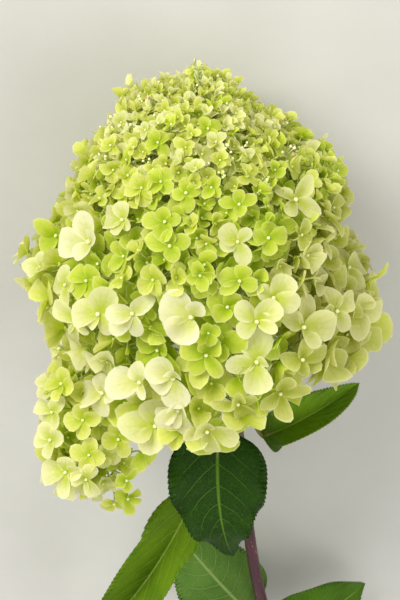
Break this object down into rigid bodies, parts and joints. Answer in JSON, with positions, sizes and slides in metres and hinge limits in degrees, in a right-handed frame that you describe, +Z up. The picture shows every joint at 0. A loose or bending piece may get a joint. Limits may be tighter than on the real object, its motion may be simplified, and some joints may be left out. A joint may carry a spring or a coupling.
{
  "type": "cut panicle hydrangea branch",
  "caption": "Cut flowering branch of panicle hydrangea: a broad lime-to-cream flower head on a dark purple stem with serrate leaves, lying on its back.",
  "frame": {"origin": "middle of the branch's footprint, on the surface it lies on", "axes": "+Z up, +Y along the branch from its cut foot to the tip of the flower head, +X to the right seen from above with the tip away from the viewer"},
  "size_m": [0.1882, 0.391, 0.1611],
  "materials": {
    "blossom": "matte, lime to cream",
    "branch_green": "matte, pale green",
    "leaf": "satin, green",
    "stem_bark": "satin, dark purple"
  },
  "bodies": {
    "root": {"blossom_1a": "blossom", "blossom_1b": "blossom", "blossom_1c": "blossom", "blossom_2b": "blossom", "blossom_2c": "blossom", "blossom_3a": "blossom", "blossom_3b": "blossom", "blossom_3c": "blossom", "blossom_4a": "blossom", "blossom_4b": "blossom", "blossom_4c": "blossom", "blossom_5a": "blossom", "blossom_5b": "blossom", "blossom_5c": "blossom", "blossom_6a": "blossom", "blossom_6b": "blossom", "blossom_6c": "blossom", "blossom_7a": "blossom", "blossom_7b": "blossom", "blossom_7c": "blossom", "blossom_lobe_lower": "blossom", "blossom_lobe_upper": "blossom", "blossom_tip": "blossom", "branch_1a": "branch_green", "branch_1b": "branch_green", "branch_1c": "branch_green", "branch_2b": "branch_green", "branch_2c": "branch_green", "branch_3a": "branch_green", "branch_3b": "branch_green", "branch_3c": "branch_green", "branch_4a": "branch_green", "branch_4b": "branch_green", "branch_4c": "branch_green", "branch_5a": "branch_green", "branch_5b": "branch_green", "branch_5c": "branch_green", "branch_6a": "branch_green", "branch_6b": "branch_green", "branch_6c": "branch_green", "branch_7a": "branch_green", "branch_7b": "branch_green", "branch_7c": "branch_green", "branch_lobe_lower": "branch_green", "branch_lobe_upper": "branch_green", "leaf_front": "leaf", "leaf_left": "leaf", "leaf_low_left": "leaf", "leaf_low_right": "leaf", "leaf_right": "leaf", "stem": "stem_bark"}
  },
  "joints": []
}
